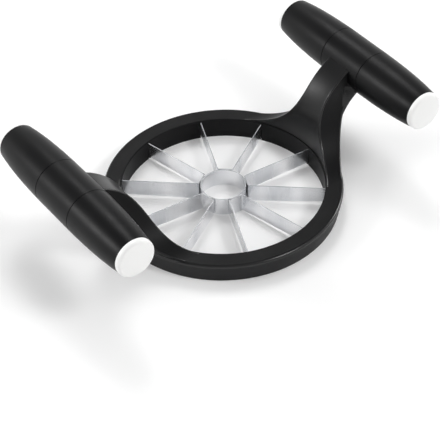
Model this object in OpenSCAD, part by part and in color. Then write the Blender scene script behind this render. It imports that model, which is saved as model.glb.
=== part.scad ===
// Press-down fruit slicer: a round moulded frame with two raised bar handles,
// ten radial blades bent from five steel strips, and a corer tube in the middle.
// X joins the two handles, Y runs along their bars, Z is up. The underside of
// the ring lies on the plane z = 0, and the axis of the corer is the Z axis.

/* [Ring] */
// Diameter of the opening that the fruit is pushed through
opening_d = 100; // [92:1:110]
// Width of the ring's top face, from the opening to the outer wall
ring_w = 9; // [8:0.5:12]
// Height of the ring
ring_h = 11; // [10.5:0.5:14]
// Radius of the ring's outer top edge
ring_edge_r = 1.5; // [1:0.5:3.5]
// How far the outer wall draws in towards the foot
ring_draft = 1.7; // [0.5:0.1:2]
// Radius of the ring's inner top edge
lip_r = 0.6; // [0.3:0.1:1]

/* [Arms] */
// Width of an arm between its two ridges
arm_w = 15; // [12:0.5:20]
// Radius of the sweep in which an arm's sides run out into the ring
flare_r = 29; // [20:1:32]
// Height above the ring at which an arm starts to lean outwards
arm_lean_z = 3.9; // [1:0.1:6]
// Chamfer along an arm's two ridges
ridge_c = 0.8; // [0.3:0.1:1]
// How much wider an arm is on each side where it meets the underside of its handle
gusset_w = 5.2; // [2:0.2:6]
// Height above the ring at which that widening starts
gusset_start = 16; // [12:1:18]
// How far it reaches across the side of an arm
gusset_depth = 6; // [4:0.5:12]

/* [Handles] */
// Distance between the axes of the two handles
handle_span = 166.6; // [156:0.2:180]
// Height of the handle axes above the ring's top face
handle_rise = 35.7; // [30:0.1:42]
// Length of a handle without its end caps
handle_l = 97.6; // [88:0.2:110]
// Diameter of a handle at its middle
handle_d = 24.2; // [22:0.2:27]
// Diameter of a handle at its ends
handle_end_d = 19.4; // [18:0.2:21]
// How long the middle stays full before the ends draw in
handle_swell = 3.1; // [2:0.1:4]
// Length of the moulded middle section between the two grips
middle_l = 26.2; // [22:0.2:32]
// Width of the seam between the middle section and a grip
seam_w = 0.2; // [0.15:0.05:0.5]

/* [Grip fixings] */
// Diameter of the spigot that a grip is pushed onto
spigot_d = 13; // [10:0.5:14]
// Length of a spigot
spigot_l = 22; // [16:1:26]
// Thickness of the web inside a grip that its screw pulls against
web_t = 3; // [2:0.5:4]
// Diameter of the grip screws
screw_d = 3; // [2.5:0.1:3.5]
// Depth to which a grip screw bites into its spigot
screw_bite = 10; // [6:1:14]
// Thickness of an end cap
cap_t = 2.6; // [1.5:0.1:3]
// Radius of an end cap's outer edge
cap_edge_r = 1.5; // [0.5:0.1:1.5]
// Diameter of the plug on the back of an end cap
cap_plug_d = 14.8; // [12:0.2:15]
// Length of that plug
cap_plug_l = 5; // [3:0.5:6]

/* [Blades] */
// Thickness of the blade sheet
sheet_t = 0.5; // [0.4:0.1:1]
// Height of the blades at the hub
blade_h = 9.8; // [8:0.1:9.9]
// Depth of the blades' top edges below the ring's top face
blade_drop = 0.9; // [0.6:0.1:1.5]
// Angle at which the cutting edge rises from the hub to the ring
edge_slope = 2; // [0:0.1:2.5]
// Height of the ground bevel above a cutting edge
bevel_h = 1.6; // [0.8:0.1:2.5]
// Width of the land left on a cutting edge
edge_land = 0.12; // [0.08:0.02:0.2]
// Distance from the axis to the bends where a strip wraps the corer
bend_r = 12.2; // [10:0.1:14]
// Bend radius of the sheet, measured to the middle of its thickness
bend_in_r = 0.9; // [0.6:0.1:1.5]
// Angle of the first blade
first_blade = -41; // [-54:1:-30]
// How far a blade's tang reaches into the ring
tang_l = 6; // [4:0.5:6.5]
// Wall of the corer tube
corer_t = 0.5; // [0.4:0.1:1]

/* [Retaining ring] */
// Thickness of the ring wall left inside the retaining groove
groove_wall = 2; // [1.6:0.1:2.5]
// Width of the retaining ring
retainer_w = 3.6; // [3:0.1:4]
// Height of the retaining ring
retainer_h = 3.8; // [3:0.1:4.5]
// How far the retaining ring is set back from the ring's foot
retainer_set = 0.3; // [0.2:0.1:0.6]
// Diameter of its pegs
peg_d = 2.4; // [2:0.1:2.6]
// Length of its pegs
peg_l = 3; // [2:0.5:3]

/* [Fits] */
// Gap round pieces that are pushed together
push_fit = 0.1; // [0.05:0.05:0.15]

/* [Hidden] */

BLACK = [0.11, 0.11, 0.115];
GRIP_BLACK = [0.14, 0.14, 0.145];
WHITE = [0.95, 0.95, 0.95];
STEEL = [0.78, 0.79, 0.8];
ZINC = [0.62, 0.63, 0.65];

STRIPS = 5;                       // each strip makes two blades
blade_step = 180 / STRIPS;        // angle from one blade to the next

opening_r = opening_d / 2;
ring_r = opening_r + ring_w;
foot_r = ring_r - ring_draft;
foot_chamfer = 0.4;
past = 1;                         // how far cutting and joined solids run past a surface

handle_x = handle_span / 2;
handle_z = ring_h + handle_rise;
handle_r = handle_d / 2;
half_l = handle_l / 2;
half_mid = middle_l / 2;
seam_chamfer = 0.15;

blade_top = ring_h - blade_drop;
hub_edge = blade_top - blade_h;   // height of the cutting edges at the hub
retainer_top = retainer_set + retainer_h;
groove_r0 = opening_r + groove_wall;
groove_r1 = groove_r0 + retainer_w + 2 * push_fit;
peg_r = groove_r0 + push_fit + retainer_w / 2;

facet_r = bend_r * cos(blade_step / 2);       // axis to the middle of a strip's flat facet
corer_r = facet_r - sheet_t / 2 - push_fit / 2;

// ---------- shared outlines ----------

// Points of a round corner, from one direction to another round its centre
function corner(centre, r, from, to, steps) =
    [for (i = [0:steps]) let (a = from + (to - from) * i / steps) centre + r * [cos(a), sin(a)]];

// Radius of the handle's barrel at a distance from its middle
function barrel_r(s) =
    handle_r - (handle_r - handle_end_d / 2) * pow(abs(s) / half_l, handle_swell);

function reversed(list) = [for (i = [len(list) - 1:-1:0]) list[i]];

// A profile turned about a handle's axis, with its height pointing to the front or the rear
module handle_turned(side, dir) {
    translate([side * handle_x, 0, handle_z]) rotate([dir * -90, 0, 0])
        rotate_extrude($fn = 96) children();
}

// ---------- ring and arms ----------

ring_profile = concat(
    [[opening_r, 0], [foot_r - foot_chamfer, 0], [foot_r, foot_chamfer]],
    corner([ring_r - ring_edge_r, ring_h - ring_edge_r], ring_edge_r, 0, 90, 8),
    corner([opening_r + lip_r, ring_h - lip_r], lip_r, 90, 180, 4));

// An arm's inner face is an arc that leaves the opening's wall upright and ends a little
// inside the handle, on the side that faces the ring and slightly above the handle's axis.
arm_bury = 2;
arm_top_angle = 31.5;
arm_foot_set = 0.15;              // how far an arm's foot stays inside the ring's outline
arm_in_r = opening_r + lip_r + arm_foot_set;
arm_base_z = ring_h + arm_lean_z;
arm_end = [handle_x, handle_z] + (handle_r - arm_bury) * [-cos(arm_top_angle), sin(arm_top_angle)];
arm_run = arm_end[0] - arm_in_r;
arm_climb = arm_end[1] - arm_base_z;
arm_arc_r = (arm_run * arm_run + arm_climb * arm_climb) / (2 * arm_run);
function inner_face(z) =
    let (up = max(0, z - arm_base_z)) arm_in_r + arm_arc_r - sqrt(arm_arc_r * arm_arc_r - up * up);

// Its outer face climbs straight from the ring's outer edge to the underside of the handle
arm_low_angle = 37;
under_lo = [ring_r - arm_foot_set, ring_h];
under_hi = [handle_x, handle_z] - (handle_r - arm_bury) * [cos(arm_low_angle), sin(arm_low_angle)];
function outer_face(z) =
    let (up = (z - under_lo[1]) / (under_hi[1] - under_lo[1]))
    up < 0 ? under_lo[0]
    : up < 1 ? under_lo[0] + (under_hi[0] - under_lo[0]) * up
    : min(handle_x - arm_bury, under_hi[0] + z - under_hi[1]);

// Half of an arm's width at a height: wide where its sides sweep out into the ring's top
sweep_z = ring_h - arm_foot_set;
function half_width(z) =
    let (down = flare_r - max(0, z - sweep_z))
    arm_w / 2 + (down > 0 ? flare_r - sqrt(flare_r * flare_r - down * down) : 0)
    + max(0, sweep_z - z);

// Extra half width under the handle: a sloping facet that starts at gusset_z on the outer
// edge, and grows upwards to gusset_w there and to gusset_depth across the arm's side
gusset_z = ring_h + gusset_start;
function gusset_rise(z) = max(0, min(1, (z - gusset_z) / (under_hi[1] - gusset_z)));
function gusset(z, inset) = gusset_w * max(0, gusset_rise(z) - inset / gusset_depth);

// One side of an arm at one height, from its inner ridge to its outer edge. The corner
// points carry the ring's rounded outer edge up along the sweep.
CORNER_STEPS = 5;
FACE_STEPS = 8;
function across(r, y, z) = [sqrt(r * r - y * y), y, z];
function side_points(z, side) =
    let (outer = outer_face(z), crease = max(ring_edge_r + ridge_c, gusset_depth * gusset_rise(z)))
    concat(
        [across(inner_face(z) + ridge_c, side * half_width(z), z),
         across(max(inner_face(z) + 2 * ridge_c, outer - crease), side * half_width(z), z)],
        [for (i = [0:CORNER_STEPS])
            let (a = 90 * i / CORNER_STEPS, inset = ring_edge_r * (1 - sin(a)))
            across(outer - inset,
                   side * (half_width(z + ring_edge_r * (1 - cos(a))) + gusset(z, inset)), z)]);
// One level of an arm: a closed loop of points, down the inner face, out along one side,
// back over the outer face and in along the other side
function level(z) =
    let (near = side_points(z, -1), far = side_points(z, 1), outer_y = far[len(far) - 1][1],
         inner_y = half_width(z) - ridge_c)
    concat(
        [for (i = [0:FACE_STEPS]) across(inner_face(z), inner_y * (1 - 2 * i / FACE_STEPS), z)],
        near,
        [for (i = [1:FACE_STEPS - 1]) across(outer_face(z), outer_y * (2 * i / FACE_STEPS - 1), z)],
        reversed(far));

SWEEP_STEPS = 9;
GUSSET_STEPS = 5;
TOP_STEPS = 5;
gusset_sweep = acos(1 - (gusset_z - sweep_z) / flare_r);
arm_levels = concat(
    [ring_h - past],
    [for (i = [0:SWEEP_STEPS]) sweep_z + flare_r * (1 - cos(gusset_sweep * i / SWEEP_STEPS))],
    [for (i = [1:GUSSET_STEPS]) gusset_z + (under_hi[1] - gusset_z) * i / GUSSET_STEPS],
    [for (i = [1:TOP_STEPS]) under_hi[1] + (arm_end[1] - under_hi[1]) * i / TOP_STEPS]);

// A closed solid through a row of loops that have as many points each. The loops run
// clockwise seen from the end; ends lists the strips that close the first and last loop.
module skin(loops, ends) {
    n = len(loops[0]);
    last = len(loops) - 1;
    polyhedron(
        points = [for (loop = loops) each loop],
        faces = concat(
            ends,
            [for (j = [0:last - 1], i = [0:n - 1]) let (k = (i + 1) % n)
                [j * n + i, (j + 1) * n + i, (j + 1) * n + k, j * n + k]],
            [for (strip = ends) [for (i = reversed(strip)) last * n + i]]));
}

// The ends are closed by strips from the inner face to the outer one, because their
// outlines bend round the opening
module arm() {
    loops = [for (z = arm_levels) level(z)];
    n = len(loops[0]);
    side_n = n / 2 - FACE_STEPS;
    outer_end = n - side_n;
    skin(loops, concat(
        [for (i = [0:FACE_STEPS - 1]) [i, i + 1, outer_end - i - 1, outer_end - i]],
        [[for (i = [0:side_n]) FACE_STEPS + i]],
        [[for (i = [0:side_n]) (outer_end + i) % n]]));
}

// The handle's middle section, with a spigot for a grip on each side
module handle_middle(side) {
    r = barrel_r(half_mid);
    for (dir = [-1, 1])
        handle_turned(side, dir)
            polygon([[0, 0], [r, 0], [r, half_mid - seam_chamfer], [r - seam_chamfer, half_mid],
                     [spigot_d / 2, half_mid], [spigot_d / 2, half_mid + spigot_l],
                     [0, half_mid + spigot_l]]);
}

module screw_pilots(side) {
    for (dir = [-1, 1])
        handle_turned(side, dir)
            translate([0, half_mid + spigot_l - screw_bite])
                square([screw_d / 2 + push_fit / 2, screw_bite + past]);
}

module blade_slots() {
    width = sheet_t + 2 * push_fit;
    for (i = [0:2 * STRIPS - 1])
        rotate([0, 0, first_blade + blade_step * i])
            translate([opening_r - past, -width / 2, -past])
                cube([past + tang_l + push_fit, width, past + blade_top + push_fit]);
}

module at_pegs() {
    for (i = [0:STRIPS - 1])
        rotate([0, 0, first_blade + blade_step * (2 * i + 0.5)]) translate([peg_r, 0, 0]) children();
}

module ring_frame() {
    color(BLACK) difference() {
        union() {
            rotate_extrude($fn = 180) polygon(ring_profile);
            for (side = [0, 1]) mirror([side, 0, 0]) arm();
            for (side = [-1, 1]) handle_middle(side);
        }
        for (side = [-1, 1]) screw_pilots(side);
        blade_slots();
        rotate_extrude($fn = 180)
            translate([groove_r0, -past])
                square([groove_r1 - groove_r0, past + retainer_top + push_fit]);
        at_pegs()
            cylinder(d = peg_d + 2 * push_fit, h = retainer_top + peg_l + 2 * push_fit, $fn = 32);
    }
}

// ---------- retaining ring ----------

module retaining_ring() {
    color(BLACK) union() {
        rotate_extrude($fn = 180)
            translate([groove_r0 + push_fit, retainer_set]) square([retainer_w, retainer_h]);
        at_pegs()
            translate([0, 0, retainer_top - past]) cylinder(d = peg_d, h = past + peg_l, $fn = 32);
    }
}

// ---------- blades and corer ----------

// A strip in plan, with the middle of its facet on the X axis: in along one blade, round
// two bends, and out along the other blade. Headings turn clockwise from one blade's
// direction to the other's.
BEND_STEPS = 6;
half_step = blade_step / 2;
bend_x = facet_r + bend_in_r;
bend_y = (bend_x * sin(half_step) - bend_in_r) / cos(half_step);
blade_tip = opening_r + tang_l;
blade_start = bend_x * cos(half_step) + bend_y * sin(half_step);   // where a bend runs out
function bend_point(heading, side) =
    [bend_x - bend_in_r * sin(heading), side * bend_y + bend_in_r * cos(heading)];

// Section of the strip at a point of its path: flat sides, ground to a narrow land
function section(point, heading, edge) =
    let (left = [-sin(heading), cos(heading)],
         outline = [[sheet_t / 2, blade_top], [-sheet_t / 2, blade_top], [-sheet_t / 2, edge + bevel_h],
                    [-edge_land / 2, edge], [edge_land / 2, edge], [sheet_t / 2, edge + bevel_h]])
    [for (v = outline) let (q = point + v[0] * left) [q[0], q[1], v[1]]];
function tip_section(side, heading) =
    section(blade_tip * [cos(half_step), side * sin(half_step)], heading,
            hub_edge + (blade_tip - blade_start) * tan(edge_slope));
function bend_sections(from, to, side) =
    [for (i = [0:BEND_STEPS]) let (heading = from + (to - from) * i / BEND_STEPS)
        section(bend_point(heading, side), heading, hub_edge)];

module blade_strip(index) {
    color(STEEL)
        rotate([0, 0, first_blade + half_step + 2 * blade_step * (index - 1)]) difference() {
            skin(concat([tip_section(-1, 180 - half_step)],
                        bend_sections(180 - half_step, 90, -1),
                        bend_sections(90, half_step, 1),
                        [tip_section(1, half_step)]),
                 [[for (i = [0:5]) i]]);
            // Each blade ends in a tang that clears the retaining ring
            for (side = [-1, 1])
                rotate([0, 0, side * half_step]) translate([opening_r - push_fit, -past, -past])
                    cube([tang_l + past, 2 * past, past + retainer_top + push_fit]);
        }
}

module corer_tube() {
    color(STEEL) rotate_extrude($fn = 120)
        polygon([[corer_r - edge_land, hub_edge], [corer_r, hub_edge], [corer_r, blade_top],
                 [corer_r - corer_t, blade_top], [corer_r - corer_t, hub_edge + bevel_h]]);
}

// ---------- grips, caps and screws ----------

spigot_end = half_mid + spigot_l;
web_lo = spigot_end + push_fit;
web_hi = web_lo + web_t;
head_d = 2 * screw_d;
head_h = 0.65 * screw_d;
drive_l = 1.1 * screw_d;          // the cross-shaped recess in a screw's head
drive_w = 0.3 * screw_d;
tip_taper = 0.4;                  // how much narrower a screw's tip is on each side
screw_gap = 1;                    // gap between a screw's tip and the end of its pilot hole
cap_plug_wall = 1.4;
cap_dome = 0.2;                   // how far the middle of a cap stands out
GRIP_STEPS = 14;

module grip(side, dir) {
    start = half_mid + seam_w;
    outline = start + seam_chamfer;
    bore = spigot_d / 2 + push_fit;
    pocket = cap_plug_d / 2 + push_fit;
    hole = screw_d / 2 + 2 * push_fit;
    color(GRIP_BLACK) handle_turned(side, dir)
        polygon(concat(
            [[bore, start], [barrel_r(start) - seam_chamfer, start]],
            [for (i = [0:GRIP_STEPS]) let (s = outline + (half_l - outline) * i / GRIP_STEPS)
                [barrel_r(s), s]],
            [[pocket, half_l], [pocket, web_hi], [hole, web_hi], [hole, web_lo], [bore, web_lo]]));
}

module cap(side, dir) {
    r = handle_end_d / 2;
    plug_r = cap_plug_d / 2;
    color(WHITE) handle_turned(side, dir) translate([0, half_l])
        polygon(concat(
            [[0, 0], [plug_r - cap_plug_wall, 0], [plug_r - cap_plug_wall, -cap_plug_l],
             [plug_r, -cap_plug_l], [plug_r, 0], [r, 0]],
            corner([r - cap_edge_r, cap_t - cap_edge_r], cap_edge_r, 0, 80, 6),
            [[0, cap_t + cap_dome]]));
}

module grip_screw(side, dir) {
    tip = -web_t - screw_bite + screw_gap;
    difference() {
        handle_turned(side, dir) translate([0, web_hi])
            polygon([[0, tip], [screw_d / 2 - tip_taper, tip], [screw_d / 2, tip + 2 * tip_taper],
                     [screw_d / 2, 0], [head_d / 2, 0], [head_d / 2, head_h / 2],
                     [head_d / 2 - head_h / 2, head_h], [0, head_h]]);
        for (turn = [0, 90])
            translate([side * handle_x, dir * (web_hi + head_h), handle_z]) rotate([0, turn, 0])
                cube([drive_l, head_h, drive_w], center = true);
    }
}

module grip_screws() {
    color(ZINC) for (side = [-1, 1], dir = [-1, 1]) grip_screw(side, dir);
}

ring_frame();
retaining_ring();
blade_strip(1);  // blade_strip_1
blade_strip(2);  // blade_strip_2
blade_strip(3);  // blade_strip_3
blade_strip(4);  // blade_strip_4
blade_strip(5);  // blade_strip_5
corer_tube();
grip(-1, -1);  // left_front_grip
grip(-1, 1);  // left_rear_grip
grip(1, -1);  // right_front_grip
grip(1, 1);  // right_rear_grip
cap(-1, -1);  // left_front_cap
cap(-1, 1);  // left_rear_cap
cap(1, -1);  // right_front_cap
cap(1, 1);  // right_rear_cap
grip_screws();
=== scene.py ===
"""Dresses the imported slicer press: a ring of blades that two bar handles push down.

Lengths are in millimetres up to the moment a mesh is made, which is in metres. X joins the two
handles, Y runs along their bars and Z is up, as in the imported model.
"""

import logging
import math
from collections.abc import Callable, Sequence
from dataclasses import dataclass, field
from enum import Enum
from typing import Any

import bmesh
import bpy
from mathutils import Matrix, Vector


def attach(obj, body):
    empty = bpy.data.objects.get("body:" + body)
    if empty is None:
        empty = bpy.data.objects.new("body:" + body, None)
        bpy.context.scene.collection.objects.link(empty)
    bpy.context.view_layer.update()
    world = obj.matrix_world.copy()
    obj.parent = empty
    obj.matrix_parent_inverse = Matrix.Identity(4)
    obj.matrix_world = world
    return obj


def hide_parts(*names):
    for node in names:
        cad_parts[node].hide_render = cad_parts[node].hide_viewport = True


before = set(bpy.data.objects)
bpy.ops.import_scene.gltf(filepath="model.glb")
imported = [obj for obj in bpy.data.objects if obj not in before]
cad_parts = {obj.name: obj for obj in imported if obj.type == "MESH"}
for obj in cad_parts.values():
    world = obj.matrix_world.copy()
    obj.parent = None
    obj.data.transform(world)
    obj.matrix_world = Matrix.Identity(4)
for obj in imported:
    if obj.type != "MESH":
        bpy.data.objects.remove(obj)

LOG = logging.getLogger("slicer")
MM = 0.001
BODY = "root"
# Points that lie closer together than this are one point, in millimetres.
WELD = 1e-4
# How far a cutting solid runs past the face that it opens, in millimetres.
OVERCUT = 1.0
# How many flats the handles, grips, caps and corer are turned with.
FLATS = 160
# Nearly all values of a noise texture lie between these.
NOISE_LOW, NOISE_HIGH = 0.3, 0.7

Piece, Shell = bpy.types.Object, bmesh.types.BMesh
Face, Tree = bpy.types.MeshPolygon, bpy.types.NodeTree
Point = tuple[float, float]
Colour = tuple[float, float, float, float]
# A place on a strip's path: its point, its heading in degrees and the height of its cutting edge.
Stop = tuple[Vector, float, float]


# ---- finishes


def linear(code: str) -> Colour:
    """Turns an sRGB hex code into a linear colour.

    Args:
        code: six hex digits after a hash sign.

    Returns:
        Linear red, green, blue, and an alpha of 1.
    """
    channels = [int(code[i:i + 2], 16) / 255 for i in (1, 3, 5)]
    values = [c / 12.92 if c <= 0.04045 else ((c + 0.055) / 1.055) ** 2.4 for c in channels]
    return values[0], values[1], values[2], 1.0


def add_node(
    tree: Tree,
    kind: str,
    settings: dict[str, Any] | None = None,
    inputs: dict[str | int, Any] | None = None,
) -> bpy.types.Node:
    """Adds one node with its settings and inputs.

    Args:
        tree: the node tree to add to.
        kind: the node's Blender type name, without the word ShaderNode.
        settings: properties of the node itself.
        inputs: a value for each input, or the socket that feeds it.

    Returns:
        The new node.
    """
    node = tree.nodes.new(f"ShaderNode{kind}")
    for name, value in (settings or {}).items():
        setattr(node, name, value)
    for key, value in (inputs or {}).items():
        if isinstance(value, bpy.types.NodeSocket):
            tree.links.new(value, node.inputs[key])
        else:
            node.inputs[key].default_value = value
    return node


def new_material(name: str) -> tuple[bpy.types.Material, Tree, bpy.types.Node]:
    """Makes an empty material.

    Args:
        name: what the material is called.

    Returns:
        The material, its node tree and its output node.
    """
    material = bpy.data.materials.new(name)
    material.use_nodes = True
    material.node_tree.nodes.clear()
    output = add_node(material.node_tree, "OutputMaterial")
    return material, material.node_tree, output


@dataclass(frozen=True)
class MouldedPlastic:
    """Injection-moulded plastic: its tool's texture shows as a fine grain, and the flow of
    the melt as broad, faint changes of gloss."""

    name: str
    colour: str
    shade: str
    roughness: float
    specular: float
    grain_mm: float
    grain_depth_mm: float
    flow_mm: float = 14.0
    gloss_spread: float = 0.05

    def material(self) -> bpy.types.Material:
        """Builds the plastic's nodes.

        Returns:
            The material.
        """
        material, tree, output = new_material(self.name)
        place = add_node(tree, "TexCoord").outputs["Object"]
        flow = add_node(tree, "TexNoise", inputs={
            "Vector": place, "Scale": 1 / (self.flow_mm * MM), "Detail": 3.0, "Roughness": 0.5})
        grain = add_node(tree, "TexNoise", inputs={
            "Vector": place, "Scale": 1 / (self.grain_mm * MM), "Detail": 2.0, "Roughness": 0.6})
        tint = add_node(tree, "Mix", {"data_type": "RGBA"}, {
            0: flow.outputs["Fac"], 6: linear(self.colour), 7: linear(self.shade)})
        gloss = add_node(tree, "MapRange", inputs={
            "Value": flow.outputs["Fac"], "From Min": NOISE_LOW, "From Max": NOISE_HIGH,
            "To Min": self.roughness - self.gloss_spread,
            "To Max": self.roughness + self.gloss_spread})
        relief = add_node(tree, "Bump", inputs={
            "Height": grain.outputs["Fac"], "Distance": self.grain_depth_mm * MM, "Strength": 1.0})
        shader = add_node(tree, "BsdfPrincipled", inputs={
            "Base Color": tint.outputs[2], "Roughness": gloss.outputs["Result"],
            "Specular IOR Level": self.specular, "Normal": relief.outputs["Normal"]})
        tree.links.new(shader.outputs["BSDF"], output.inputs["Surface"])
        return material


@dataclass(frozen=True)
class BrushedSteel:
    """Sheet steel brushed across the strip: fine scratches over broad, upright bands of painted
    reflection, light and shade in the colour. The real scratches are about 0.05 mm apart and are
    drawn coarser, so that they show."""

    name: str
    colour: str
    shade: str
    roughness: float
    scratch_mm: float
    scratch_length_mm: float
    scratch_depth_mm: float
    # Painted reflection: broad, upright bands of light and shade drawn into the colour.
    reflection_band_mm: float = 15.0
    reflection_band_length_mm: float = 80.0
    reflection_band_low: float = 0.35
    reflection_band_high: float = 0.65
    scratch_share: float = 0.3
    gloss_spread: float = 0.05

    def material(self) -> bpy.types.Material:
        """Builds the steel's nodes.

        Returns:
            The material.
        """
        material, tree, output = new_material(self.name)
        place = add_node(tree, "TexCoord").outputs["Object"]
        along = self.scratch_mm / self.scratch_length_mm
        stretched = add_node(tree, "Mapping", inputs={
            "Vector": place, "Scale": (1.0, 1.0, along)})
        scratches = add_node(tree, "TexNoise", inputs={
            "Vector": stretched.outputs["Vector"], "Scale": 1 / (self.scratch_mm * MM),
            "Detail": 3.0, "Roughness": 0.65})
        # Painted reflection: broad, upright bands of light and shade that tint the steel.
        upright = add_node(tree, "Mapping", inputs={
            "Vector": place, "Scale": (1.0, 1.0, self.reflection_band_mm / self.reflection_band_length_mm)})
        bands = add_node(tree, "TexNoise", inputs={
            "Vector": upright.outputs["Vector"], "Scale": 1 / (self.reflection_band_mm * MM), "Detail": 1.0})
        painted_reflection_tone = add_node(tree, "MapRange", inputs={
            "Value": bands.outputs["Fac"], "From Min": self.reflection_band_low, "From Max": self.reflection_band_high,
            "To Min": 0.0, "To Max": 1.0 - self.scratch_share})
        blend = add_node(tree, "Math", {"operation": "MULTIPLY_ADD"}, {
            0: scratches.outputs["Fac"], 1: self.scratch_share, 2: painted_reflection_tone.outputs["Result"]})
        tint = add_node(tree, "Mix", {"data_type": "RGBA"}, {
            0: blend.outputs["Value"], 6: linear(self.colour), 7: linear(self.shade)})
        gloss = add_node(tree, "MapRange", inputs={
            "Value": blend.outputs["Value"],
            "To Min": self.roughness - self.gloss_spread,
            "To Max": self.roughness + self.gloss_spread})
        relief = add_node(tree, "Bump", inputs={
            "Height": scratches.outputs["Fac"], "Distance": self.scratch_depth_mm * MM,
            "Strength": 1.0})
        shader = add_node(tree, "BsdfPrincipled", inputs={
            "Base Color": tint.outputs[2], "Metallic": 1.0, "Roughness": gloss.outputs["Result"],
            "Normal": relief.outputs["Normal"]})
        tree.links.new(shader.outputs["BSDF"], output.inputs["Surface"])
        return material


class Finish(Enum):
    """Every finish on the slicer."""

    # Glass-filled nylon from a finely textured tool: a deep black with broad, dim highlights.
    FRAME = MouldedPlastic(
        "glass_filled_nylon_satin_black", "#101011", "#0D0D0E", roughness=0.46, specular=0.13,
        grain_mm=0.7, grain_depth_mm=0.003)
    # The same nylon where its tool is polished, at the ring's rounded edge and the arms' ridges
    # and gussets: a thin line of light along them.
    EDGE = MouldedPlastic(
        "glass_filled_nylon_polished_black", "#101011", "#0D0D0E", roughness=0.25, specular=0.45,
        grain_mm=0.7, grain_depth_mm=0.0005, gloss_spread=0.01)
    # The same nylon from a burnished core: the arms' inner faces shine softly under the handles.
    INNER = MouldedPlastic(
        "glass_filled_nylon_burnished_black", "#101011", "#0D0D0E", roughness=0.34, specular=0.25,
        grain_mm=0.7, grain_depth_mm=0.002)
    # The same nylon from a spark-eroded tool wall, rougher and grainier; its charcoal colour,
    # lighter than the top, is painted light.
    WALL = MouldedPlastic(
        "glass_filled_nylon_eroded_black_painted_lighter", "#222223", "#1E1E1F", roughness=0.5, specular=0.15,
        grain_mm=0.9, grain_depth_mm=0.012)
    # ABS from a satin tool: black, with two soft bands of light along each handle.
    GRIP = MouldedPlastic(
        "abs_satin_black", "#0E0E0F", "#0B0B0C", roughness=0.38, specular=0.155,
        grain_mm=0.6, grain_depth_mm=0.003)
    # Unfilled ABS from a smooth tool: an even, clean white with hardly any highlight.
    CAP = MouldedPlastic(
        "abs_smooth_white", "#F7F7F6", "#F4F4F3", roughness=0.3, specular=0.25,
        grain_mm=1.2, grain_depth_mm=0.0005, gloss_spread=0.02)
    # Stainless strip brushed across: a pale, cool grey with faint streaks, in soft upright bands of
    # painted reflection.
    BLADE = BrushedSteel(
        "stainless_steel_brushed_painted_reflection", "#FCFCFD", "#CED0D4", roughness=0.25,
        scratch_mm=0.3, scratch_length_mm=12.0, scratch_depth_mm=0.0004)
    # The strip's shorn edge: duller and darker than its faces, so each blade ends in a fine line.
    SHEARED = BrushedSteel(
        "stainless_steel_sheared_edge", "#B4B5B7", "#9C9EA1", roughness=0.45,
        scratch_mm=0.3, scratch_length_mm=0.6, scratch_depth_mm=0.003)
    # Zinc-plated steel: a bright, slightly blue grey.
    SCREW = BrushedSteel(
        "steel_zinc_plated", "#C9CCD0", "#B5B8BD", roughness=0.32,
        scratch_mm=0.4, scratch_length_mm=1.5, scratch_depth_mm=0.003)

    def dress(self) -> bpy.types.Material:
        """Returns the finish's material, which is built on first use."""
        made = bpy.data.materials.get(self.value.name)
        return made or self.value.material()


# ---- mesh tools


def arc(centre: Point, radius: float, start: float, end: float, steps: int) -> list[Point]:
    """Lists the points of an arc.

    Args:
        centre: the arc's centre.
        radius: its radius.
        start: the direction of its first point, in degrees.
        end: the direction of its last point, in degrees.
        steps: how many straight steps it has.

    Returns:
        steps + 1 points.
    """
    turns = [math.radians(start + (end - start) * i / steps) for i in range(steps + 1)]
    return [(centre[0] + radius * math.cos(t), centre[1] + radius * math.sin(t)) for t in turns]


def turned(profile: Sequence[Point], steps: int, closed: bool) -> Shell:
    """Turns a profile about the Z axis.

    Args:
        profile: points as (radius, height), in millimetres.
        steps: how many flats the turn has.
        closed: whether the last point joins the first; otherwise both lie on the axis.

    Returns:
        A closed shell, in metres.
    """
    bm = bmesh.new()
    verts = [bm.verts.new((r * MM, 0.0, h * MM)) for r, h in profile]
    pairs = list(zip(verts, verts[1:])) + ([(verts[-1], verts[0])] if closed else [])
    edges = [bm.edges.new(pair) for pair in pairs]
    bmesh.ops.spin(bm, geom=verts + edges, cent=(0, 0, 0), axis=(0, 0, 1), dvec=(0, 0, 0),
                   angle=2 * math.pi, steps=steps, use_merge=True)
    bmesh.ops.remove_doubles(bm, verts=bm.verts, dist=WELD * MM)
    bmesh.ops.recalc_face_normals(bm, faces=bm.faces)
    return bm


def lofted(loops: Sequence[Sequence[Vector]]) -> Shell:
    """Draws a closed loop of points through a row of places, and closes both ends.

    Args:
        loops: loops with as many points each, in millimetres.

    Returns:
        A closed shell, in metres.
    """
    bm = bmesh.new()
    row = [bm.verts.new(p * MM) for p in loops[0]]
    edges = [bm.edges.new((a, b)) for a, b in zip(row, row[1:] + row[:1])]
    first = list(edges)
    for loop in loops[1:]:
        made = bmesh.ops.extrude_edge_only(bm, edges=edges)["geom"]
        fresh = {g for g in made if isinstance(g, bmesh.types.BMVert)}
        row = [next(e.other_vert(v) for e in v.link_edges if e.other_vert(v) in fresh) for v in row]
        edges = [bm.edges.get(pair) for pair in zip(row, row[1:] + row[:1])]
        for vert, point in zip(row, loop):
            vert.co = point * MM
    for rim in (first, edges):
        bmesh.ops.triangle_fill(bm, use_beauty=True, edges=rim)
    bmesh.ops.recalc_face_normals(bm, faces=bm.faces)
    return bm


def to_object(bm: Shell, name: str) -> Piece:
    """Moves a bmesh into a new object at the origin.

    Args:
        bm: the bmesh; it is freed.
        name: what the object is called.

    Returns:
        The object.
    """
    mesh = bpy.data.meshes.new(name)
    bm.to_mesh(mesh)
    bm.free()
    piece = bpy.data.objects.new(name, mesh)
    bpy.context.scene.collection.objects.link(piece)
    return piece


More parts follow.
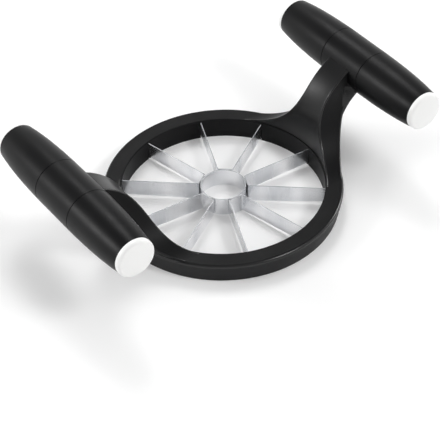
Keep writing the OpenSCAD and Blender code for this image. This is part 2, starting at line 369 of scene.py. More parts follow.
def add_bar(bm: Shell, angle: float, start: Point, size: Sequence[float]) -> None:
    """Adds a box that points away from the Z axis.

    Args:
        bm: the bmesh to add it to.
        angle: its direction, in degrees.
        start: its distance from the axis and the height of its underside, in millimetres.
        size: its length, width and height, in millimetres.
    """
    middle = Vector((start[0] + size[0] / 2, 0, start[1] + size[2] / 2)) * MM
    place = Matrix.Rotation(math.radians(angle), 4, "Z") @ Matrix.Translation(middle)
    scale = Matrix.Diagonal(Vector(size) * MM).to_4x4()
    bmesh.ops.create_cube(bm, size=1.0, matrix=place @ scale)


class Joining(Enum):
    """How a tool solid acts on a piece."""

    ADD = "UNION"
    CUT = "DIFFERENCE"


def combine(piece: Piece, tool: Shell, how: Joining) -> None:
    """Joins a solid to a piece or cuts it out, and keeps the result as the piece's own mesh.

    Args:
        piece: the piece to change.
        tool: the solid; it is freed.
        how: whether the solid is added or cut out.
    """
    helper = to_object(tool, "tool")
    step = piece.modifiers.new("combine", "BOOLEAN")
    step.object, step.operation, step.solver = helper, how.value, "EXACT"
    graph = bpy.context.evaluated_depsgraph_get()
    mesh = bpy.data.meshes.new_from_object(piece.evaluated_get(graph))
    piece.modifiers.clear()
    old, piece.data = piece.data, mesh
    mesh.name = piece.name
    for spent in (old, helper.data):
        bpy.data.meshes.remove(spent)


def drop_spare_points(piece: Piece, bend: float) -> None:
    """Merges the points that the joins leave in one place, and takes out those that they leave
    along an edge. Both faces at such a point would else get the same small triangle.

    Args:
        piece: the piece to clean.
        bend: how far off its neighbours' line a spare point may lie, in millimetres.
    """
    bm = bmesh.new()
    bm.from_mesh(piece.data)
    bmesh.ops.remove_doubles(bm, verts=bm.verts, dist=WELD * MM)
    spare = []
    for vert in bm.verts:
        if len(vert.link_edges) == 2:
            start, end = (edge.other_vert(vert).co for edge in vert.link_edges)
            if (vert.co - start).cross(end - start).length < bend * MM * (end - start).length:
                spare.append(vert)
    bmesh.ops.dissolve_verts(bm, verts=spare)
    bm.to_mesh(piece.data)
    bm.free()


def dress(
    piece: Piece, finish: Finish, stands_for: str, sharp_angle: float = 12.0
) -> Piece:
    """Shades a piece, gives it its finish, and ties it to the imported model.

    Args:
        piece: the piece, with its place in its mesh.
        finish: what it is made of.
        stands_for: the CAD node that it replaces.
        sharp_angle: edges that bend by more than this many degrees stay crisp.

    Returns:
        The same piece.
    """
    piece.data.materials.clear()
    piece.data.materials.append(finish.dress())
    piece.data.polygons.foreach_set("use_smooth", [True] * len(piece.data.polygons))
    piece.data.set_sharp_from_angle(angle=math.radians(sharp_angle))
    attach(piece, BODY)
    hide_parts(stands_for)
    return piece


def dress_where(piece: Piece, finish: Finish, chosen: Callable[[Face], bool]) -> None:
    """Gives some of a piece's faces a finish of their own.

    Args:
        piece: the piece, already dressed.
        finish: the finish of those faces.
        chosen: tells whether a face is one of them.
    """
    piece.data.materials.append(finish.dress())
    index = len(piece.data.materials) - 1
    for face in piece.data.polygons:
        if chosen(face):
            face.material_index = index


def dress_top_edges(
    piece: Piece, height: float, edge_radius: float, reach: float = 1.1
) -> None:
    """Gives the faces along the top edge of a piece of sheet the sheared finish.

    Args:
        piece: the piece, already dressed.
        height: the height of the edge, in millimetres.
        edge_radius: the radius to which the edge is broken, in millimetres.
        reach: how far below the edge its faces may lie, in such radii.
    """
    verts, low = piece.data.vertices, (height - reach * edge_radius) * MM
    dress_where(piece, Finish.SHEARED, lambda face: all(verts[v].co.z > low for v in face.vertices))


# ---- shapes shared by the pieces


@dataclass(frozen=True)
class Barrel:
    """The outline of a handle: full in the middle and drawn in towards both ends."""

    axis_x: float = 83.3
    axis_z: float = 46.7
    radius: float = 12.1
    end_radius: float = 9.7
    half_length: float = 48.8
    swell: float = 3.1
    half_middle: float = 13.1
    seam_width: float = 0.2

    def radius_at(self, distance: float) -> float:
        """The barrel's radius at a distance from its middle, either way."""
        drawn_in = (abs(distance) / self.half_length) ** self.swell
        return self.radius - (self.radius - self.end_radius) * drawn_in

    def outline(self, start: float, end: float, steps: int) -> list[Point]:
        """Lists points of the barrel's outline as (radius, distance), from start to end."""
        stops = [start + (end - start) * i / steps for i in range(steps + 1)]
        return [(self.radius_at(s), s) for s in stops]

    def stand(self, bm: Shell, side: int, towards: int) -> None:
        """Lays a shell turned about Z along the axis of a handle.

        Args:
            bm: the shell.
            side: 1 for the right handle, -1 for the left one.
            towards: 1 where its height points to the rear, -1 to the front.
        """
        place = Matrix.Translation(Vector((side * self.axis_x, 0, self.axis_z)) * MM)
        lay = Matrix.Rotation(math.radians(-90 * towards), 4, "X")
        bmesh.ops.transform(bm, matrix=place @ lay, verts=bm.verts)


@dataclass(frozen=True)
class Ring:
    """The ring's section and the places of the blades round it."""

    opening_radius: float = 50.0
    radius: float = 59.0
    height: float = 11.0
    edge_radius: float = 1.5
    lip_radius: float = 0.6
    draft: float = 1.7
    foot_chamfer: float = 0.4
    groove_inner: float = 52.0
    groove_outer: float = 55.8
    groove_height: float = 4.2
    first_blade: float = -41.0
    blade_step: float = 36.0
    blade_count: int = 10
    edge_steps: int = 14
    lip_steps: int = 10

    @property
    def draft_angle(self) -> float:
        """How far the outer wall leans out towards its top, in degrees."""
        return math.degrees(math.atan2(self.draft, self.height - self.edge_radius))

    def section(self) -> list[Point]:
        """Lists the ring's section, with the groove in its foot.

        Returns:
            Its points as (radius, height).
        """
        foot = self.radius - self.draft
        return [
            (self.opening_radius, 0.0), (self.groove_inner, 0.0),
            (self.groove_inner, self.groove_height), (self.groove_outer, self.groove_height),
            (self.groove_outer, 0.0), (foot - self.foot_chamfer, 0.0), (foot, self.foot_chamfer),
            *arc((self.radius - self.edge_radius, self.height - self.edge_radius),
                 self.edge_radius, -self.draft_angle, 90, self.edge_steps),
            *arc((self.opening_radius + self.lip_radius, self.height - self.lip_radius),
                 self.lip_radius, 90, 180, self.lip_steps),
        ]

    def blade_angles(self) -> list[float]:
        """Lists the direction of each blade, in degrees."""
        return [self.first_blade + self.blade_step * i for i in range(self.blade_count)]


# ---- sub-assemblies


@dataclass(frozen=True)
class Arm:
    """One arm between the ring and a handle: a curved inner face, a straight outer one, sides
    that sweep out into the ring, and a gusset on each side under the handle. Its root lies in
    the ring, and its head is buried in the handle."""

    ring: Ring
    barrel: Barrel
    width: float = 15.0
    sweep_radius: float = 29.0
    lean_start: float = 14.9
    ridge: float = 0.8
    gusset_width: float = 5.2
    gusset_start: float = 27.0
    gusset_depth: float = 6.0
    bury: float = 2.0
    top_angle: float = 31.5
    low_angle: float = 37.0
    foot_set: float = 0.15
    root: float = 1.0
    corner_steps: int = 10
    ridge_steps: int = 8
    face_steps: int = 16
    sweep_steps: int = 20
    gusset_steps: int = 12
    head_steps: int = 8

    @property
    def inner_foot(self) -> float:
        """Distance from the corer's axis to the foot of the inner face."""
        return self.ring.opening_radius + self.ring.lip_radius + self.foot_set

    @property
    def sweep_foot(self) -> float:
        """Height at which the sides' sweep starts."""
        return self.ring.height - self.foot_set

    @property
    def top(self) -> Point:
        """Where the inner face ends, as (x, z)."""
        return self.inside_handle(self.top_angle)

    @property
    def under(self) -> Point:
        """Where the outer face's straight part ends, as (x, z)."""
        return self.inside_handle(-self.low_angle)

    def inside_handle(self, angle: float) -> Point:
        """A point inside the handle, at an angle above the way from its axis to the corer."""
        reach, turn = self.barrel.radius - self.bury, math.radians(angle)
        return (self.barrel.axis_x - reach * math.cos(turn),
                self.barrel.axis_z + reach * math.sin(turn))

    def inner_face(self, z: float) -> float:
        """Gives the distance of the inner face from the corer's axis.

        Args:
            z: the height.

        Returns:
            The distance there.
        """
        run, climb = self.top[0] - self.inner_foot, self.top[1] - self.lean_start
        bend = (run * run + climb * climb) / (2 * run)
        up = max(0.0, z - self.lean_start)
        return self.inner_foot + bend - math.sqrt(bend * bend - up * up)

    def outer_face(self, z: float) -> float:
        """Gives the distance of the outer face from the corer's axis.

        Args:
            z: the height.

        Returns:
            The distance there.
        """
        foot = self.ring.radius - self.foot_set
        if z < self.ring.height:
            return foot
        if z < self.under[1]:
            share = (z - self.ring.height) / (self.under[1] - self.ring.height)
            return foot + (self.under[0] - foot) * share
        return min(self.barrel.axis_x - self.bury, self.under[0] + z - self.under[1])

    def half_width(self, z: float) -> float:
        """Gives half of the arm's width without its gussets.

        Args:
            z: the height.

        Returns:
            The half width there.
        """
        down = max(0.0, self.sweep_radius - max(0.0, z - self.sweep_foot))
        sweep = self.sweep_radius - math.sqrt(self.sweep_radius ** 2 - down * down)
        return self.width / 2 + sweep + max(0.0, self.sweep_foot - z)

    def gusset_rise(self, z: float) -> float:
        """How far up its gussets a height is, from 0 to 1."""
        return max(0.0, min(1.0, (z - self.gusset_start) / (self.under[1] - self.gusset_start)))

    def gusset(self, z: float, inset: float) -> float:
        """Extra half width at a height and a distance in from the outer face."""
        return self.gusset_width * max(0.0, self.gusset_rise(z) - inset / self.gusset_depth)

    def side(self, z: float, way: int) -> list[Vector]:
        """Lists the outline of one of the arm's sides, from its inner ridge to its outer edge.

        Args:
            z: the height of the outline.
            way: 1 for the rear side, -1 for the front one.

        Returns:
            As many points at every height.
        """
        round_r = self.ring.edge_radius
        outer, inner = self.outer_face(z), self.inner_face(z)
        crease = max(round_r + self.ridge, self.gusset_depth * self.gusset_rise(z))
        points = arc((inner + self.ridge, self.half_width(z) - self.ridge), self.ridge,
                     180, 90, self.ridge_steps)[1:]
        points.append((max(inner + 2 * self.ridge, outer - crease), self.half_width(z)))
        for i in range(self.corner_steps + 1):
            turn = math.radians(90 * i / self.corner_steps)
            inset = round_r * (1 - math.sin(turn))
            wide = self.half_width(z + round_r * (1 - math.cos(turn)))
            points.append((outer - inset, wide + self.gusset(z, inset)))
        return [self.across(r, way * y, z) for r, y in points]

    @staticmethod
    def across(r: float, y: float, z: float) -> Vector:
        """Places a point by its distance from the corer's axis, its y and its height."""
        return Vector((math.sqrt(r * r - y * y), y, z))

    def level(self, z: float) -> list[Vector]:
        """Lists the arm's whole outline at a height.

        Args:
            z: the height of the outline.

        Returns:
            As many points at every height.
        """
        near, far = self.side(z, -1), self.side(z, 1)
        inner, outer = self.inner_face(z), self.outer_face(z)
        inner_y, outer_y = self.half_width(z) - self.ridge, far[-1].y
        shares = [2 * i / self.face_steps - 1 for i in range(self.face_steps + 1)]
        return [
            *[self.across(inner, -inner_y * share, z) for share in shares],
            *near,
            *[self.across(outer, outer_y * share, z) for share in shares[1:-1]],
            *reversed(far),
        ]

    def heights(self) -> list[float]:
        """Lists the heights at which the arm's outline is drawn.

        Returns:
            Heights from inside the ring to inside the handle.
        """
        swept = math.acos(1 - (self.gusset_start - self.sweep_foot) / self.sweep_radius)
        rises = [1 - math.cos(swept * i / self.sweep_steps) for i in range(self.sweep_steps + 1)]
        low, mid, high = self.gusset_start, self.under[1], self.top[1]
        return [
            self.ring.height - self.root,
            *[self.sweep_foot + self.sweep_radius * rise for rise in rises],
            *[low + (mid - low) * i / self.gusset_steps for i in range(1, self.gusset_steps + 1)],
            *[mid + (high - mid) * i / self.head_steps for i in range(1, self.head_steps + 1)],
        ]

    def build(self, mirrored: bool) -> Shell:
        """Builds an arm.

        Args:
            mirrored: whether it is the left arm, the mirror image of the right one.

        Returns:
            A closed shell, in metres.
        """
        bm = lofted([self.level(z) for z in self.heights()])
        if mirrored:
            bmesh.ops.transform(bm, matrix=Matrix.Scale(-1, 4, (1, 0, 0)), verts=bm.verts)
            bmesh.ops.recalc_face_normals(bm, faces=bm.faces)
        return bm


@dataclass(frozen=True)
class FrameFaces:
    """Tells the frame's faces apart by their middles, so that each gets the finish of its part
    of the mould. A slack is how far off its surface such a middle may lie. The ring's polish
    starts the unpolished distance below its top."""

    ring: Ring
    barrel: Barrel
    arm: Arm
    unpolished: float = 0.135
    wall_slack: float = 0.1
    face_slack: float = 0.05
    corner_slack: float = 0.02
    handle_slack: float = 0.3
    handle_sink: float = 1.0

    @staticmethod
    def place(face: Face) -> tuple[float, float, float]:
        """A face's distance from the corer's axis, its distance from the X axis and its height."""
        x, y, z = face.center / MM
        return math.hypot(x, y), abs(y), z

    def off_handle(self, face: Face) -> float:
        """How far outside the surface of the handle on its side a face lies."""
        x, _, z = face.center / MM
        return math.hypot(abs(x) - self.barrel.axis_x, z - self.barrel.axis_z) - self.barrel.radius

    def on_ring_edge(self, face: Face) -> bool:
        """Whether a face lies on the ring's rounded outer edge, below its almost flat top."""
        (far, _, z), corner = self.place(face), self.ring.edge_radius
        return self.unpolished < self.ring.height - z < corner and far > self.ring.radius - corner

    def on_wall(self, face: Face) -> bool:
        """Whether a face lies on the ring's outer wall."""
        (far, _, z), foot = self.place(face), self.ring.radius - self.ring.draft
        return self.ring.height - z > self.ring.edge_radius and far > foot - self.wall_slack

    def on_arm(self, face: Face) -> bool:
        """Whether a face lies between the ring's top and a handle."""
        x, _, z = (abs(v) for v in face.center / MM)
        return (x < self.barrel.axis_x and self.ring.height < z < self.arm.top[1]
                and self.off_handle(face) > -self.handle_sink)

    def on_inner_face(self, face: Face) -> bool:
        """Whether a face lies on the inner face of an arm."""
        far, _, z = self.place(face)
        return self.on_arm(face) and far < self.arm.inner_face(z) + self.face_slack

    def on_arm_edge(self, face: Face) -> bool:
        """Tells whether a face lies on a rounded edge of an arm or on one of its gussets.

        Args:
            face: the face in question.

        Returns:
            Whether it does.
        """
        if not self.on_arm(face):
            return False
        far, aside, z = self.place(face)
        arm, corner, wide = self.arm, self.ring.edge_radius, aside - self.arm.half_width(z)
        reach = max(corner, arm.gusset_depth * arm.gusset_rise(z))
        ridge = wide > -arm.ridge and self.face_slack < far - arm.inner_face(z) < arm.ridge
        return ridge or (wide > -corner and self.corner_slack < arm.outer_face(z) - far < reach)

    def on_handle(self, face: Face) -> bool:
        """Whether a face lies on the outside of a handle's middle section."""
        near = abs(self.off_handle(face)) < self.handle_slack
        return near and self.place(face)[1] < self.barrel.half_middle


@dataclass(frozen=True)
class Frame:
    """The one-piece moulding: the ring, two arms and the middle section of both handles."""

    ring: Ring
    barrel: Barrel
    spigot_radius: float = 6.5
    spigot_length: float = 22.0
    seam_chamfer: float = 0.15
    slot_width: float = 0.7
    slot_reach: float = 6.1
    slot_height: float = 10.2
    ring_flats: int = 240
    spare_bend: float = 0.02

    def middle(self, side: int) -> Shell:
        """Builds a handle's middle section with its two spigots.

        Args:
            side: 1 for the right handle, -1 for the left one.

        Returns:
            A closed shell, in metres.
        """
        radius = self.barrel.radius_at(self.barrel.half_middle)
        end = self.barrel.half_middle
        half = [(radius, end - self.seam_chamfer), (radius - self.seam_chamfer, end),
                (self.spigot_radius, end), (self.spigot_radius, end + self.spigot_length),
                (0.0, end + self.spigot_length)]
        bm = turned([(r, -h) for r, h in reversed(half)] + half, FLATS, closed=False)
        self.barrel.stand(bm, side, 1)
        return bm

    def slots(self) -> Shell:
        """Builds the solids that open the slots for the blades' tangs.

        Returns:
            Ten closed shells, in metres.
        """
        bm = bmesh.new()
        start = (self.ring.opening_radius - OVERCUT, -OVERCUT)
        size = (self.slot_reach + OVERCUT, self.slot_width, self.slot_height + OVERCUT)
        for angle in self.ring.blade_angles():
            add_bar(bm, angle, start, size)
        return bm

    def build(self) -> Piece:
        """Builds the moulding and dresses it.

        Returns:
            The piece.
        """
        arm = Arm(self.ring, self.barrel)
        ring = turned(self.ring.section(), self.ring_flats, closed=True)
        piece = to_object(ring, "frame_moulding")
        for mirrored in (False, True):
            combine(piece, arm.build(mirrored), Joining.ADD)
        for side in (-1, 1):
            combine(piece, self.middle(side), Joining.ADD)
        combine(piece, self.slots(), Joining.CUT)
        drop_spare_points(piece, self.spare_bend)
        dress(piece, Finish.FRAME, "ring_frame")
        faces = FrameFaces(self.ring, self.barrel, arm)
        # The wall's lighter charcoal is painted light, so that the wall reads brighter than the
        # top.
        dress_where(piece, Finish.WALL, faces.on_wall)
        dress_where(piece, Finish.INNER, faces.on_inner_face)
        dress_where(piece, Finish.EDGE,
                    lambda face: faces.on_ring_edge(face) or faces.on_arm_edge(face))
        dress_where(piece, Finish.GRIP, faces.on_handle)
        return piece


class End(Enum):
    """The four ends of the two handles, as (side, direction)."""

    LEFT_FRONT = (-1, -1)
    LEFT_REAR = (-1, 1)
    RIGHT_FRONT = (1, -1)
    RIGHT_REAR = (1, 1)

    @property
    def word(self) -> str:
        """The words that start the names of the CAD nodes at this end."""
        return self.name.lower()


@dataclass(frozen=True)
class Grip:
    """A grip: a hollow sleeve that is pushed onto a spigot, with a web for its screw."""

    barrel: Barrel
    bore: float = 6.6
    bore_length: float = 22.1
    web: float = 3.0
    screw_hole: float = 1.7
    pocket: float = 7.5
    edge_chamfer: float = 0.15
    outline_steps: int = 40

    def build(self, end: End) -> Piece:
        """Builds a grip and dresses it.

        Args:
            end: the handle's end that it is for.

        Returns:
            The piece.
        """
        start = self.barrel.half_middle + self.barrel.seam_width
        floor = self.barrel.half_middle + self.bore_length
        radius = self.barrel.radius_at(start)
        shell = self.barrel.outline(
            start + self.edge_chamfer, self.barrel.half_length, self.outline_steps)
        profile = [
            (self.bore, start), (radius - self.edge_chamfer, start), *shell,
            (self.pocket, self.barrel.half_length), (self.pocket, floor + self.web),
            (self.screw_hole, floor + self.web), (self.screw_hole, floor), (self.bore, floor)]
        bm = turned(profile, FLATS, closed=True)
        self.barrel.stand(bm, *end.value)
        piece = to_object(bm, f"{end.word}_sleeve")
        return dress(piece, Finish.GRIP, f"{end.word}_grip")


@dataclass(frozen=True)
class Cap:
    """An end cap: a slightly domed disc with a rounded edge and a hollow plug on its back."""

    barrel: Barrel
    thickness: float = 2.6
    edge_radius: float = 1.5
    dome: float = 0.2
    plug_radius: float = 7.4
    plug_length: float = 5.0
    wall: float = 1.4
    rim_angle: float = 80.0
    rim_steps: int = 14
    crown_steps: int = 12

    def build(self, end: End) -> Piece:
        """Builds a cap and dresses it.

        Args:
            end: the handle's end that it is for.

        Returns:
            The piece.
        """
        base, radius = self.barrel.half_length, self.barrel.end_radius
        inner = self.plug_radius - self.wall
        rim = arc((radius - self.edge_radius, base + self.thickness - self.edge_radius),
                  self.edge_radius, 0, self.rim_angle, self.rim_steps)
        edge, peak = rim[-1], base + self.thickness + self.dome
        shares = [1 - i / self.crown_steps for i in range(1, self.crown_steps + 1)]
        crown = [(edge[0] * share, peak - (peak - edge[1]) * share ** 2) for share in shares]
        bm = turned([(0.0, base), (inner, base), (inner, base - self.plug_length),
                     (self.plug_radius, base - self.plug_length), (self.plug_radius, base),
                     (radius, base), *rim, *crown], FLATS, closed=False)
        self.barrel.stand(bm, *end.value)
        piece = to_object(bm, f"{end.word}_plug")
        return dress(piece, Finish.CAP, f"{end.word}_cap")


@dataclass(frozen=True)
class Blades:
    """Five strips of sheet steel, each bent round the corer into two blades and their facet."""

    ring: Ring
    thickness: float = 0.5
    top: float = 10.1
    hub_edge: float = 0.3
    edge_slope: float = 2.0
    bevel_height: float = 1.6
    edge_land: float = 0.12
    bend_place: float = 12.2
    bend_radius: float = 0.9
    tang_length: float = 6.0
    tang_floor: float = 4.2
    tang_inset: float = 0.1
    tang_cut_width: float = 2.0
    top_edge_radius: float = 0.08
    top_edge_steps: int = 3
    bend_steps: int = 18
    sharp_angle: float = 5.0

    def bend(self, centre: Point, begin: float, finish: float) -> list[Stop]:
        """Lists the stops of the strip's path round a bend.

        Args:
            centre: the centre of the bend, in plan.
            begin: the heading before it, in degrees.
            finish: the heading after it, in degrees.

        Returns:
            One stop more than the bend has steps.
        """
        step = (finish - begin) / self.bend_steps
        points = arc(centre, self.bend_radius, begin + 90, finish + 90, self.bend_steps)
        return [(Vector((*point, 0)), begin + step * i, self.hub_edge)
                for i, point in enumerate(points)]

    def path(self) -> list[Stop]:
        """Lists the stops of the strip's path, with its facet across the X axis.

        Returns:
            A stop for each section, from one blade's tip to the other's.
        """
        half = self.ring.blade_step / 2
        cos, sin = math.cos(math.radians(half)), math.sin(math.radians(half))
        across = self.bend_place * cos + self.bend_radius
        aside = (across * sin - self.bend_radius) / cos
        tip = self.ring.opening_radius + self.tang_length
        run = tip - (across * cos + aside * sin)
        edge = self.hub_edge + run * math.tan(math.radians(self.edge_slope))
        return [
            (Vector((tip * cos, -tip * sin, 0)), 180 - half, edge),
            *self.bend((across, -aside), 180 - half, 90),
            *self.bend((across, aside), 90, half),
            (Vector((tip * cos, tip * sin, 0)), half, edge),
        ]

    def section(self, stop: Stop) -> list[Vector]:
        """Lists the strip's knife-shaped section.

        Args:
            stop: the place on the path that it is for.

        Returns:
            The section's points.
        """
        place, heading, edge = stop
        turn = math.radians(heading)
        left = Vector((-math.sin(turn), math.cos(turn), 0))
        half, land, ground = self.thickness / 2, self.edge_land / 2, edge + self.bevel_height
        outline = [(half, self.top), (-half, self.top), (-half, ground),
                   (-land, edge), (land, edge), (half, ground)]
        return [place + left * out + Vector((0, 0, z)) for out, z in outline]

    def tang_cuts(self, heading: float) -> Shell:
        """Builds the solids that are cut away from below a strip's two tangs.

        Args:
            heading: the direction of the strip's facet, in degrees.

        Returns:
            Two closed shells, in metres.
        """
        bm = bmesh.new()
        size = (self.tang_length + OVERCUT, self.tang_cut_width, self.tang_floor + OVERCUT)
        for side in (-1, 1):
            add_bar(bm, heading + side * self.ring.blade_step / 2,
                    (self.ring.opening_radius - self.tang_inset, -OVERCUT), size)
        return bm

    def build(self, index: int) -> Piece:
        """Builds a strip and dresses it.

        Args:
            index: which strip it is, counted from 1.

        Returns:
            The piece.
        """
        bm = lofted([self.section(stop) for stop in self.path()])
        crest = [edge for edge in bm.edges
                 if all(abs(vert.co.z - self.top * MM) < WELD * MM for vert in edge.verts)
                 and len({round(face.normal.z, 1) for face in edge.link_faces}) > 1]
        bmesh.ops.bevel(bm, geom=crest, offset=self.top_edge_radius * MM, offset_type="OFFSET",
                        affect="EDGES", segments=self.top_edge_steps, profile=0.5, material=-1,
                        clamp_overlap=True)
        heading = self.ring.first_blade + self.ring.blade_step * (0.5 + 2 * (index - 1))
        turn = Matrix.Rotation(math.radians(heading), 4, "Z")
        bmesh.ops.transform(bm, matrix=turn, verts=bm.verts)
        piece = to_object(bm, f"bent_strip_{index}")
        combine(piece, self.tang_cuts(heading), Joining.CUT)
        dress(piece, Finish.BLADE, f"blade_strip_{index}", self.sharp_angle)
        dress_top_edges(piece, self.top, self.top_edge_radius)
        return piece


@dataclass(frozen=True)
class Corer:
    """The tube in the middle: rolled sheet, ground to an edge from the inside."""

    radius: float = 11.303
    wall: float = 0.5
    top: float = 10.1
    edge: float = 0.3
    bevel_height: float = 1.6
    edge_land: float = 0.12
    rim_radius: float = 0.08
    rim_steps: int = 4
    sharp_angle: float = 5.0

    def build(self) -> Piece:
        """Builds the tube and dresses it.

        Returns:
            The piece.
        """
        inner, rim_r, rim_z = self.radius - self.wall, self.rim_radius, self.top - self.rim_radius
        bm = turned([(self.radius - self.edge_land, self.edge), (self.radius, self.edge),
                     *arc((self.radius - rim_r, rim_z), rim_r, 0, 90, self.rim_steps),
                     *arc((inner + rim_r, rim_z), rim_r, 90, 180, self.rim_steps),
                     (inner, self.edge + self.bevel_height)], FLATS, closed=True)
        piece = to_object(bm, "corer_sleeve")
        dress(piece, Finish.BLADE, "corer_tube", self.sharp_angle)
        dress_top_edges(piece, self.top, rim_r)
        return piece


@dataclass(frozen=True)
class HiddenParts:
    """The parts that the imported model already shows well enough: the retaining ring in the
    ring's foot and the screws inside the grips. They keep their CAD meshes."""

    finishes: tuple[tuple[str, Finish], ...] = (
        ("retaining_ring", Finish.FRAME), ("grip_screws", Finish.SCREW))

    def dress(self) -> None:
        """Gives each node its material."""
        for name, finish in self.finishes:
            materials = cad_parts[name].data.materials
            materials.clear()
            materials.append(finish.dress())


# ---- studio


@dataclass(frozen=True)
class Softbox:
    """A soft light: a lit rectangle, seen from the object in one direction."""

    name: str
    direction: tuple[float, float, float]
    distance_m: float
    size_m: tuple[float, float]
    radiance: float

    def build(self, aim: Vector) -> None:
        """Hangs the light so that it faces the object.

        Args:
            aim: the point that it faces, in metres.
        """
        light = bpy.data.lights.new(self.name, "AREA")
        light.shape, light.size, light.size_y = "RECTANGLE", *self.size_m
        light.energy = self.radiance * math.pi * self.size_m[0] * self.size_m[1]
        lamp = bpy.data.objects.new(self.name, light)
        away = Vector(self.direction).normalized()
        lamp.location = aim + away * self.distance_m
        lamp.rotation_euler = away.to_track_quat("Z", "Y").to_euler()
        lamp.visible_camera = False
        bpy.context.scene.collection.objects.link(lamp)


@dataclass(frozen=True)
class Studio:
    """A white product studio: a pale floor, a white surround and soft lights."""

    floor_size_m: float = 6.0
    ambient: float = 0.5
    surround: float = 1.0
    ceiling: float = 0.45
    ceiling_start: float = 0.25
    ceiling_full: float = 0.6
    floor_colour: str = "#F7F7F7"
    floor_roughness: float = 0.9
    floor_specular: float = 0.2
    floor_glow: float = 0.1
    aim_mm: tuple[float, float, float] = (0.0, 0.0, 25.0)
    lights: tuple[Softbox, ...] = (
        Softbox("softbox_rear_right", (0.24, 0.46, 0.78), 1.6, (0.42, 0.62), 8.0),
        Softbox("softbox_rear_left", (-0.74, 0.43, 0.40), 1.6, (0.6, 0.38), 13.2),
        Softbox("softbox_front_right", (0.3, -0.64, 0.71), 1.6, (0.36, 0.36), 17.0),
        Softbox("softbox_right", (0.93, -0.12, 0.28), 1.8, (0.5, 0.5), 9.0),
    )

    def world(self) -> None:
        """Builds the surround: a plain level of light, and white where it is seen or reflected,
        with a dimmer ceiling in reflections."""
        world = bpy.data.worlds.new("surround")
        bpy.context.scene.world = world
        world.use_nodes = True
        tree = world.node_tree
        tree.nodes.clear()
        seen = seen_directly(tree)
        level = add_node(tree, "MapRange", inputs={
            "Value": seen, "To Min": self.ambient, "To Max": self.surround})
        heading = add_node(tree, "SeparateXYZ", inputs={
            0: add_node(tree, "TexCoord").outputs["Generated"]})
        overhead = add_node(tree, "MapRange", inputs={
            "Value": heading.outputs["Z"], "From Min": self.ceiling_start,
            "From Max": self.ceiling_full, "To Min": 0.0, "To Max": 1.0 - self.ceiling})
        rays = add_node(tree, "LightPath").outputs
        dimmed = add_node(tree, "Math", {"operation": "MULTIPLY"}, {
            0: overhead.outputs["Result"], 1: rays["Is Glossy Ray"]})
        kept = add_node(tree, "Math", {"operation": "SUBTRACT"}, {
            0: level.outputs["Result"], 1: dimmed.outputs["Value"]})
        light = add_node(tree, "Background", inputs={
            "Color": linear("#FFFFFF"), "Strength": kept.outputs["Value"]})
        add_node(tree, "OutputWorld", inputs={"Surface": light.outputs["Background"]})

    def floor(self) -> None:
        """Builds the floor, which glows a little where it is seen so that it reads as white."""
        bm = bmesh.new()
        bmesh.ops.create_grid(bm, x_segments=1, y_segments=1, size=self.floor_size_m / 2)
        piece = to_object(bm, "floor")
        material, tree, output = new_material("painted_board_matt_white")
        glow = add_node(tree, "Math", {"operation": "MULTIPLY"}, {
            0: seen_directly(tree), 1: self.floor_glow})
        shader = add_node(tree, "BsdfPrincipled", inputs={
            "Base Color": linear(self.floor_colour), "Roughness": self.floor_roughness,
            "Specular IOR Level": self.floor_specular, "Emission Color": linear("#FFFFFF"),
            "Emission Strength": glow.outputs["Value"]})
        tree.links.new(shader.outputs["BSDF"], output.inputs["Surface"])
        piece.data.materials.append(material)

    def build(self) -> None:
        """Builds the floor, the surround and the lights."""
        self.floor()
        self.world()
        for softbox in self.lights:
            softbox.build(Vector(self.aim_mm) * MM)
        bpy.context.scene.view_settings.view_transform = "Standard"


def seen_directly(tree: Tree) -> bpy.types.NodeSocket:
    """Adds nodes that tell rays from the camera, off glossy surfaces and through clear ones.

    Args:
        tree: the node tree to add to.

    Returns:
        A socket that is 1 for such rays and otherwise 0.
    """
    rays = add_node(tree, "LightPath").outputs
    either = add_node(tree, "Math", {"operation": "MAXIMUM"}, {
        0: rays["Is Camera Ray"], 1: rays["Is Glossy Ray"]})
    return add_node(tree, "Math", {"operation": "MAXIMUM"}, {
        0: either.outputs["Value"], 1: rays["Is Transmission Ray"]}).outputs["Value"]


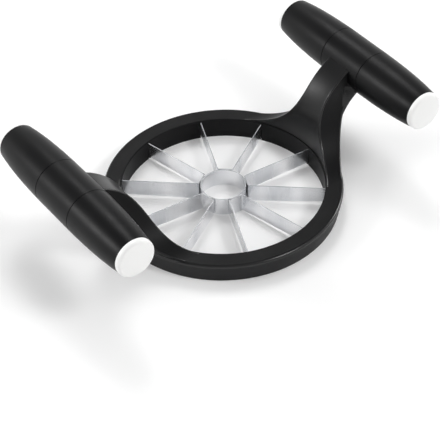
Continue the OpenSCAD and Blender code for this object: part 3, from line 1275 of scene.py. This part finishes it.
@dataclass(frozen=True)
class Camera:
    """The photograph's camera: a long lens, high on the left and in front."""

    place_mm: tuple[float, float, float] = (-335.5, -471.5, 513.6)
    azimuth: float = -35.24
    elevation: float = 41.98
    roll: float = -1.57
    lens_mm: float = 127.84
    sensor_mm: float = 36.0
    clip_start_m: float = 0.01

    def build(self) -> None:
        """Sets the camera up."""
        a, e, r = (math.radians(v) for v in (self.azimuth, self.elevation, self.roll))
        back = Vector((math.sin(a) * math.cos(e), -math.cos(a) * math.cos(e), math.sin(e)))
        right = Vector((math.cos(a), math.sin(a), 0))
        up = back.cross(right)
        across = right * math.cos(r) + up * math.sin(r)
        data = bpy.data.cameras.new("camera")
        data.lens, data.sensor_fit, data.sensor_width = self.lens_mm, "HORIZONTAL", self.sensor_mm
        data.clip_start = self.clip_start_m
        camera = bpy.data.objects.new("camera", data)
        turn = Matrix((across, back.cross(across), back)).transposed()
        camera.matrix_world = Matrix.Translation(Vector(self.place_mm) * MM) @ turn.to_4x4()
        bpy.context.scene.collection.objects.link(camera)
        bpy.context.scene.camera = camera


# ---- the whole slicer


def report(piece: Piece) -> None:
    """Logs a piece's name, its size in millimetres and how many faces it has."""
    size = " x ".join(f"{v / MM:.1f}" for v in piece.dimensions)
    LOG.info("%s: %s mm, %d faces", piece.name, size, len(piece.data.polygons))


@dataclass
class Slicer:
    """Every piece of the slicer, in the order in which it is put together."""

    ring: Ring = field(default_factory=Ring)
    barrel: Barrel = field(default_factory=Barrel)

    def build(self) -> None:
        """Builds and dresses all pieces."""
        report(Frame(self.ring, self.barrel).build())
        blades = Blades(self.ring)
        for index in range(1, self.ring.blade_count // 2 + 1):
            report(blades.build(index))
        report(Corer().build())
        grip, cap = Grip(self.barrel), Cap(self.barrel)
        for end in End:
            report(grip.build(end))
            report(cap.build(end))
        HiddenParts().dress()


def main() -> None:
    """Builds the scene."""
    logging.basicConfig(level=logging.INFO, format="%(message)s")
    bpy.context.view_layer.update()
    Slicer().build()
    Studio().build()
    Camera().build()


if __name__ == "__main__":
    main()
